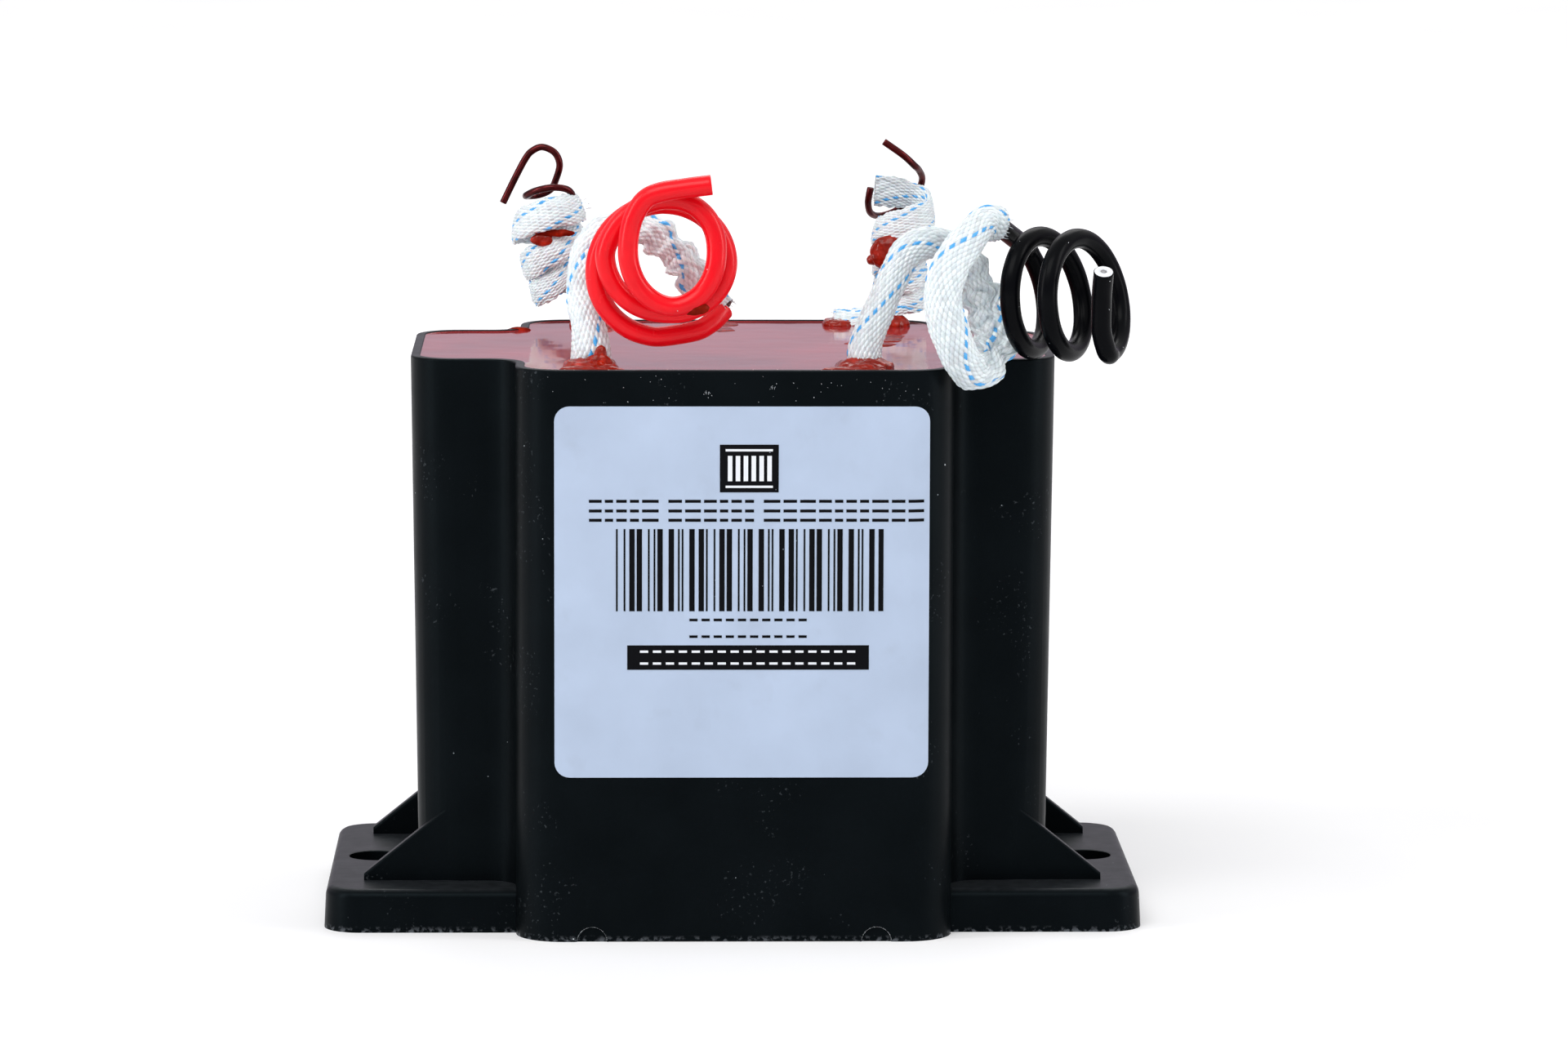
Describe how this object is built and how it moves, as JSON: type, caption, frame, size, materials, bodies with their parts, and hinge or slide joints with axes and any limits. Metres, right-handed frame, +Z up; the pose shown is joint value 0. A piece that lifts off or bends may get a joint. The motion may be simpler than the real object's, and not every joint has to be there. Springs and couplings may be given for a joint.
{
  "type": "high-voltage pulse transformer",
  "caption": "Resin-potted high-voltage transformer in a black moulded case with a gusseted mounting flange, a square label and braided flying leads coiled above the resin.",
  "frame": {"origin": "middle of the case's base, on the surface that the transformer is bolted to", "axes": "+X along the flange from the left lead's side to the right, +Y away from the label, +Z up out of the open top"},
  "size_m": [0.111, 0.0755, 0.1035],
  "materials": {
    "case_plastic": "satin",
    "epoxy": "gloss",
    "sealant": "gloss",
    "laminations": "satin",
    "tape": "matte",
    "nylon": "matte",
    "winding": "satin",
    "label_film": "gloss",
    "braid": "satin",
    "red_silicone": "gloss",
    "black_silicone": "gloss",
    "enamelled_copper": "gloss",
    "bare_copper": "satin"
  },
  "bodies": {
    "root": {"case": "case_plastic", "potting_resin": "epoxy", "core_e_stack": "laminations", "core_i_stack": "laminations", "core_tape": "tape", "coil_former": "nylon", "primary_winding": "winding", "barrier_wrap": "tape", "sectioned_former": "nylon", "secondary_section_1": "winding", "secondary_section_2": "winding", "secondary_section_3": "winding", "secondary_section_4": "winding", "secondary_section_5": "winding", "outer_wrap": "tape", "hv_splices": "nylon", "red_lead_tail": "red_silicone", "black_lead_tail": "black_silicone", "left_copper_tail": "enamelled_copper", "right_copper_tail": "enamelled_copper", "front_label": "label_film", "sealant_dabs": "sealant", "red_sleeve": "braid", "red_wire_coil": "red_silicone", "red_wire_end": "red_silicone", "red_conductor": "bare_copper", "black_sleeve": "braid", "black_wire_start": "black_silicone", "black_wire_coil": "black_silicone", "black_wire_end": "black_silicone", "black_conductor": "bare_copper", "left_sleeve_foot": "braid", "left_sleeve_coil": "braid", "left_copper_lead": "enamelled_copper", "right_sleeve_foot": "braid", "right_sleeve_coil": "braid", "right_copper_lead": "enamelled_copper"}
  },
  "joints": []
}
